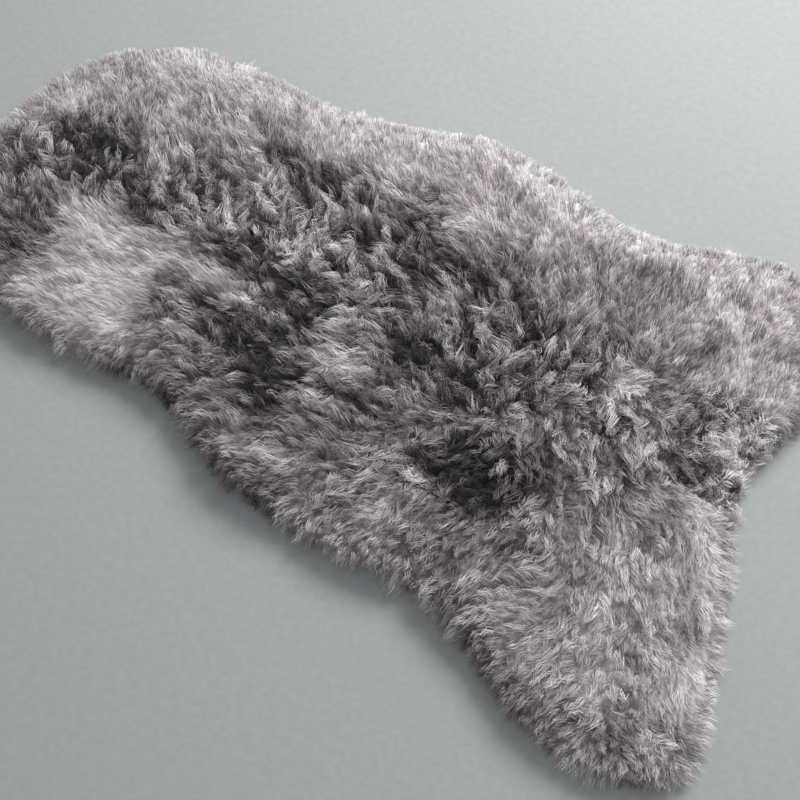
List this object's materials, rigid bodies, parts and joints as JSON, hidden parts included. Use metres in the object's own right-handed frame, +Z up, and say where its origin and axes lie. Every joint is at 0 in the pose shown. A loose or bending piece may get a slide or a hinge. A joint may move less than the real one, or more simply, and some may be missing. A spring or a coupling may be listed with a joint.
{
  "type": "sheepskin rug",
  "caption": "Whole sheepskin rug lying flat, wool side up, with one narrower rounded end, waisted sides and two leg lobes at the other end; lies on a floor or over a seat.",
  "frame": {"origin": "middle of the rug's plan, on the underside of the hide", "axes": "+Z up out of the wool, X along the rug with the narrow rounded end at -X and the two lobes at +X, Y across it"},
  "size_m": [1.028, 0.6056, 0.0532],
  "materials": {
    "wool": "dyed mauve-grey wool with pale tips and charcoal roots",
    "hide": "suede flesh side"
  },
  "bodies": {
    "root": {"sheepskin": "wool"}
  },
  "joints": []
}
